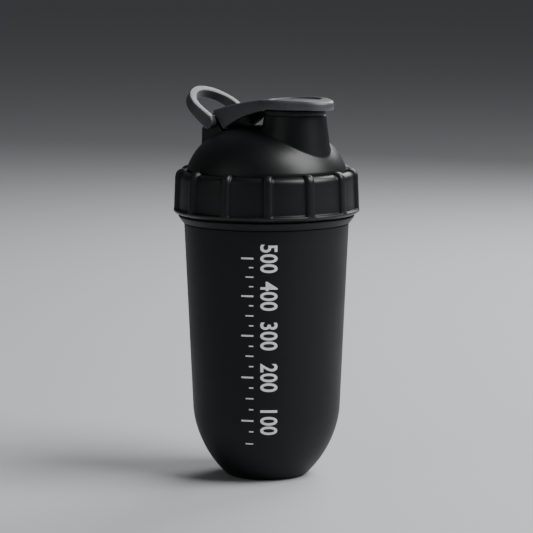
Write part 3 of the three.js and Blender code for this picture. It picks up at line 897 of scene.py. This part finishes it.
# %% Which body each piece rides on, and which CAD node it stands for
for piece, body, node, finish in [
    (tumbler, "tumbler", "tumbler", "black_shell"),
    (collar, "collar", "screw_collar", "black_lid"),
    (lid, "lid", "dome_lid", "black_lid"),
    (gasket, "lid", "rim_gasket", "seal"),
    (pin, "lid", "hinge_pin", "pin"),
    (cap, "cap", "flip_cap", "grey_lever"),
    (seal, "cap", "spout_seal", "seal"),
    (loop, "loop", "carry_loop", "grey_lever"),
]:
    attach(piece, body)
    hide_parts(node)
    print(piece.name, "rides on", body, "and stands for", node)
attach(volume_scale, "tumbler")

# %% [markdown]
# ## What the finishes share
# Moulded plastic is never one flat colour. The mould is blasted with grit, so the skin has a fine grain.
# Edges are rubbed by hands, which polishes them and lightens them a little. And a trace of dust settles
# on what faces up. Each of these effects is a node group, built once and placed in every material with
# its own strength. Rubbed edges need to know where the edges are. Each mesh is measured for that: a
# number on every vertex says how sharply the surface bends outwards there, and the materials read it as
# an attribute.

# %% Measuring where a hand would rub
def measure_edges(piece):
    shape = bmesh.new()
    shape.from_mesh(piece.data)
    shape.normal_update()
    bends = []
    for vertex in shape.verts:
        area = sum(face.calc_area() for face in vertex.link_faces) / 3
        bend = sum(e.calc_face_angle_signed(0) * e.calc_length() for e in vertex.link_edges) / 2
        bends.append(bend * MM / area if area > 1e-14 else 0.0)
    steady = []
    for vertex in shape.verts:
        near = [bends[e.other_vert(vertex).index] for e in vertex.link_edges]
        steady.append((bends[vertex.index] + sum(near) / max(1, len(near))) / 2)
    shape.free()
    wear = piece.data.attributes.new("rubbed", "FLOAT", "POINT")
    wear.data.foreach_set("value", [min(1.0, max(0.0, (bend - 0.35) / 0.9)) for bend in steady])
    print(piece.name, "share of rubbed vertices:", round(sum(b > 0.6 for b in steady) / len(steady), 3))


for piece in (tumbler, collar, lid, gasket, seal, cap, loop, pin):
    measure_edges(piece)

# %% A helper that starts a node group
def new_group(name, inputs, outputs):
    group = bpy.data.node_groups.new(name, "ShaderNodeTree")
    for title, default in inputs:
        socket = group.interface.new_socket(title, in_out="INPUT", socket_type="NodeSocketFloat")
        socket.default_value = default
    for title in outputs:
        group.interface.new_socket(title, in_out="OUTPUT", socket_type="NodeSocketFloat")
    entry = group.nodes.new("NodeGroupInput")
    leave = group.nodes.new("NodeGroupOutput")
    place = group.nodes.new("ShaderNodeTexCoord").outputs["Object"]
    return group, entry, leave, place


def noise(tree, place, scale, detail=2.0, roughness=0.5):
    node = tree.nodes.new("ShaderNodeTexNoise")
    node.inputs["Detail"].default_value = detail
    node.inputs["Roughness"].default_value = roughness
    tree.links.new(place, node.inputs["Vector"])
    if isinstance(scale, (int, float)):
        node.inputs["Scale"].default_value = scale
    else:
        tree.links.new(scale, node.inputs["Scale"])
    return node.outputs["Fac"]


def sums(tree, kind, first, second, clamp=False):
    node = tree.nodes.new("ShaderNodeMath")
    node.operation = kind
    node.use_clamp = clamp
    for socket, value in zip(node.inputs, (first, second)):
        if isinstance(value, (int, float)):
            socket.default_value = value
        else:
            tree.links.new(value, socket)
    return node.outputs[0]


def ranged(tree, value, low, high, to_low, to_high):
    node = tree.nodes.new("ShaderNodeMapRange")
    for title, number in zip(("From Min", "From Max", "To Min", "To Max"), (low, high, to_low, to_high)):
        if isinstance(number, (int, float)):
            node.inputs[title].default_value = number
        else:
            tree.links.new(number, node.inputs[title])
    tree.links.new(value, node.inputs["Value"])
    return node.outputs["Result"]


print("node helpers ready")

# %% Group 1: the grain that the blasted mould leaves
grain, entry, leave, place = new_group("mould_grain", [("Scale", 2200.0), ("Depth", 1.0)], ["Height", "Tone"])
fine = noise(grain, place, entry.outputs["Scale"], 3.0, 0.55)
coarse = noise(grain, place, sums(grain, "MULTIPLY", entry.outputs["Scale"], 0.31), 2.0)
mixed = sums(grain, "ADD", sums(grain, "MULTIPLY", fine, 0.7), sums(grain, "MULTIPLY", coarse, 0.3))
grain.links.new(sums(grain, "MULTIPLY", mixed, entry.outputs["Depth"]), leave.inputs["Height"])
grain.links.new(ranged(grain, mixed, 0.3, 0.7, 0.0, 1.0), leave.inputs["Tone"])
print("group", grain.name, "with", len(grain.nodes), "nodes")

# %% Group 2: edges rubbed by hands, broken up so that they are not even
rubbed, entry, leave, place = new_group("rubbed_edges", [("Amount", 1.0), ("Patchiness", 0.6)], ["Mask"])
measured = rubbed.nodes.new("ShaderNodeAttribute")
measured.attribute_name = "rubbed"
patches = ranged(rubbed, noise(rubbed, place, 160.0, 3.0), 0.35, 0.65, 0.0, 1.0)
kept = sums(rubbed, "SUBTRACT", 1.0, sums(rubbed, "MULTIPLY", patches, entry.outputs["Patchiness"]), True)
mask = sums(rubbed, "MULTIPLY", measured.outputs["Fac"], kept)
rubbed.links.new(sums(rubbed, "MULTIPLY", mask, entry.outputs["Amount"], True), leave.inputs["Mask"])
print("group", rubbed.name, "with", len(rubbed.nodes), "nodes")

# %% Group 3: a trace of dust on what faces up, in fine specks
dust, entry, leave, place = new_group("settled_dust", [("Amount", 0.15), ("Speck Size", 900.0)], ["Mask"])
facing = dust.nodes.new("ShaderNodeSeparateXYZ")
geometry = dust.nodes.new("ShaderNodeNewGeometry")
dust.links.new(geometry.outputs["Normal"], facing.inputs["Vector"])
upward = ranged(dust, facing.outputs["Z"], 0.55, 0.98, 0.0, 1.0)
specks = ranged(dust, noise(dust, place, entry.outputs["Speck Size"], 2.0, 0.7), 0.56, 0.7, 0.0, 1.0)
drifts = ranged(dust, noise(dust, place, 60.0, 2.0), 0.4, 0.7, 0.25, 1.0)
settled = sums(dust, "MULTIPLY", sums(dust, "MULTIPLY", upward, specks), drifts)
dust.links.new(sums(dust, "MULTIPLY", settled, entry.outputs["Amount"], True), leave.inputs["Mask"])
print("group", dust.name, "with", len(dust.nodes), "nodes")

# %% Group 4: slow changes of tone and faint handling marks
handling, entry, leave, place = new_group("handling_marks", [("Scale", 25.0), ("Streaks", 0.5)],
                                          ["Tone", "Smear"])
broad = noise(handling, place, entry.outputs["Scale"], 3.0, 0.6)
stretch = handling.nodes.new("ShaderNodeMapping")
stretch.inputs["Scale"].default_value = (1.0, 1.0, 0.18)
stretch.inputs["Rotation"].default_value = (0.3, 0.2, 0.0)
handling.links.new(place, stretch.inputs["Vector"])
lines = ranged(handling, noise(handling, stretch.outputs["Vector"], 420.0, 4.0, 0.6), 0.6, 0.78, 0.0, 1.0)
handling.links.new(ranged(handling, broad, 0.3, 0.7, 0.0, 1.0), leave.inputs["Tone"])
smear = sums(handling, "MULTIPLY", sums(handling, "MULTIPLY", lines, entry.outputs["Streaks"]), broad)
handling.links.new(smear, leave.inputs["Smear"])
print("group", handling.name, "with", len(handling.nodes), "nodes")

# %% [markdown]
# ## The finishes
# The tumbler has a soft-touch skin, which scatters light and has almost no clear reflection. The collar
# and the dome are bare satin polypropylene, a little glossier. The cap and the loop are the same plastic
# in grey. One recipe builds all of them: two tones mixed by slow changes, lighter at rubbed edges, with
# dust on top. What is the same all over, such as the specular level, is set on the shader itself.

# %% The plastic recipe
def placed(tree, group, **values):
    node = tree.nodes.new("ShaderNodeGroup")
    node.node_tree = group
    for title, value in values.items():
        node.inputs[title.replace("_", " ")].default_value = value
    return node


def blended(tree, share, first, second):
    node = tree.nodes.new("ShaderNodeMix")
    node.data_type = "RGBA"
    tree.links.new(share, node.inputs["Factor"])
    for socket, colour in ((node.inputs["A"], first), (node.inputs["B"], second)):
        if isinstance(colour, tuple):
            socket.default_value = (*colour, 1)
        else:
            tree.links.new(colour, socket)
    return node.outputs["Result"]


def plastic(name, dark, light, worn, roughness, grain_scale, grain_depth, wear=0.6, dust_amount=0.12,
            specular=0.5, sheen=0.0):
    finish = bpy.data.materials.new(name)
    finish.use_nodes = True
    tree = finish.node_tree
    shader = tree.nodes["Principled BSDF"]
    texture = placed(tree, grain, Scale=grain_scale, Depth=1.0)
    marks = placed(tree, handling, Scale=25.0, Streaks=0.5)
    edges = placed(tree, rubbed, Amount=wear, Patchiness=0.55)
    specks = placed(tree, dust, Amount=dust_amount, Speck_Size=900.0)
    tone = sums(tree, "MULTIPLY", sums(tree, "ADD", marks.outputs["Tone"], texture.outputs["Tone"]), 0.5)
    colour = blended(tree, tone, dark, light)
    colour = blended(tree, edges.outputs["Mask"], colour, worn)
    colour = blended(tree, specks.outputs["Mask"], colour, (0.32, 0.31, 0.29))
    tree.links.new(colour, shader.inputs["Base Color"])
    rough = ranged(tree, marks.outputs["Tone"], 0.0, 1.0, roughness - 0.035, roughness + 0.035)
    rough = sums(tree, "SUBTRACT", rough, sums(tree, "MULTIPLY", edges.outputs["Mask"], 0.12))
    rough = sums(tree, "SUBTRACT", rough, sums(tree, "MULTIPLY", marks.outputs["Smear"], 0.1))
    rough = sums(tree, "ADD", rough, sums(tree, "MULTIPLY", specks.outputs["Mask"], 0.4), True)
    tree.links.new(rough, shader.inputs["Roughness"])
    bump = tree.nodes.new("ShaderNodeBump")
    bump.inputs["Strength"].default_value = grain_depth
    bump.inputs["Distance"].default_value = 0.00006
    tree.links.new(texture.outputs["Height"], bump.inputs["Height"])
    tree.links.new(bump.outputs["Normal"], shader.inputs["Normal"])
    shader.inputs["Specular IOR Level"].default_value = specular
    shader.inputs["Sheen Weight"].default_value = sheen
    shader.inputs["Sheen Roughness"].default_value = 0.5
    print("finish", name, "roughness about", roughness)
    return finish


soft_black = plastic("soft_touch_black", (0.0030, 0.0039, 0.0043), (0.0046, 0.0057, 0.0062),
                     (0.02, 0.022, 0.023), 0.5, 2600.0, 0.35, wear=0.5, dust_amount=0.1, specular=0.3)
satin_black = plastic("satin_black", (0.0026, 0.0034, 0.0037), (0.0040, 0.0050, 0.0054),
                      (0.026, 0.028, 0.029), 0.4, 1900.0, 0.4, wear=0.6, dust_amount=0.14, specular=0.42)
satin_grey = plastic("satin_grey", (0.050, 0.056, 0.060), (0.064, 0.071, 0.076), (0.13, 0.138, 0.144),
                     0.42, 1900.0, 0.4, wear=0.5, dust_amount=0.08, specular=0.5)
silicone = plastic("grey_silicone", (0.2, 0.205, 0.21), (0.24, 0.245, 0.25), (0.3, 0.3, 0.3),
                   0.6, 1300.0, 0.25, wear=0.2, dust_amount=0.1, specular=0.4, sheen=0.1)
white_ink = plastic("white_ink", (0.93, 0.93, 0.92), (0.96, 0.96, 0.95), (0.96, 0.96, 0.95),
                    0.55, 3200.0, 0.3, wear=0.0, dust_amount=0.0, specular=0.4)

# %% Brushed steel for the pin
steel = plastic("pin_steel", (0.5, 0.5, 0.51), (0.6, 0.6, 0.61), (0.68, 0.68, 0.68), 0.3, 1500.0, 0.15,
                wear=0.6, dust_amount=0.05)
steel.node_tree.nodes["Principled BSDF"].inputs["Metallic"].default_value = 1.0

# %% Giving each piece its finish
for piece, finish in [(tumbler, soft_black), (collar, satin_black), (lid, satin_black), (gasket, silicone),
                      (seal, silicone), (cap, satin_grey), (loop, satin_grey), (pin, steel),
                      (volume_scale, white_ink)]:
    piece.data.materials.clear()
    piece.data.materials.append(finish)
for name, cad_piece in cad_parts.items():
    cad_piece.data.materials.clear()
    cad_piece.data.materials.append({"tumbler": soft_black, "flip_cap": satin_grey, "carry_loop": satin_grey,
                                     "hinge_pin": steel, "spout_seal": silicone,
                                     "rim_gasket": silicone}.get(name, satin_black))
print("finishes given")

# %% [markdown]
# ## Light and camera
# A long lens from a metre and a half away keeps upright lines upright. A large soft light from the upper
# right draws the broad highlights, a weaker one from the left keeps the dark side readable, and a strip
# behind gives the shoulder a thin bright edge.

# %% Floor, world, lights and camera
let_go()
bpy.ops.mesh.primitive_plane_add(size=60)
floor = bpy.context.object
floor.name = "floor"
floor_paint = bpy.data.materials.new("pale_floor")
floor_paint.use_nodes = True
floor_shader = floor_paint.node_tree.nodes["Principled BSDF"]
floor_shader.inputs["Base Color"].default_value = (0.55, 0.56, 0.58, 1)
floor_shader.inputs["Roughness"].default_value = 0.85
floor.data.materials.append(floor_paint)

world = bpy.data.worlds.new("studio")
bpy.context.scene.world = world
world.use_nodes = True
world.node_tree.nodes["Background"].inputs["Color"].default_value = (0.75, 0.77, 0.8, 1)
world.node_tree.nodes["Background"].inputs["Strength"].default_value = 0.09

AZIMUTH = radians(40)
CAMERA_DOWN = 7.41  # degrees that the camera looks down
to_camera = Vector((sin(AZIMUTH), -cos(AZIMUTH), 0))
to_right = Vector((cos(AZIMUTH), sin(AZIMUTH), 0))


def soft_light(name, right, near, up, size, power):
    place = to_right * right + to_camera * near + Vector((0, 0, up))
    aim = (Vector((0, 0, 0.11)) - place).to_track_quat("-Z", "Y").to_euler()
    let_go()
    bpy.ops.object.light_add(type="AREA", location=place, rotation=aim)
    lamp = bpy.context.object
    lamp.name = name
    lamp.data.shape = "RECTANGLE"
    lamp.data.size, lamp.data.size_y = size
    lamp.data.energy = power


soft_light("key", 1.0, 0.3, 1.25, (1.1, 1.1), 34)
soft_light("fill", -1.3, 0.9, 0.8, (1.2, 1.2), 2)
soft_light("rim", 0.5, -1.0, 0.9, (0.8, 0.8), 12)
let_go()
bpy.ops.object.camera_add(location=to_camera * 1.5 + Vector((0, 0, 0.306)),
                          rotation=(radians(90 - CAMERA_DOWN), 0, AZIMUTH))
camera = bpy.context.object
camera.data.lens = 193.2
camera.data.sensor_width = 36
bpy.context.scene.camera = camera
print("camera at", [round(x, 3) for x in camera.location])
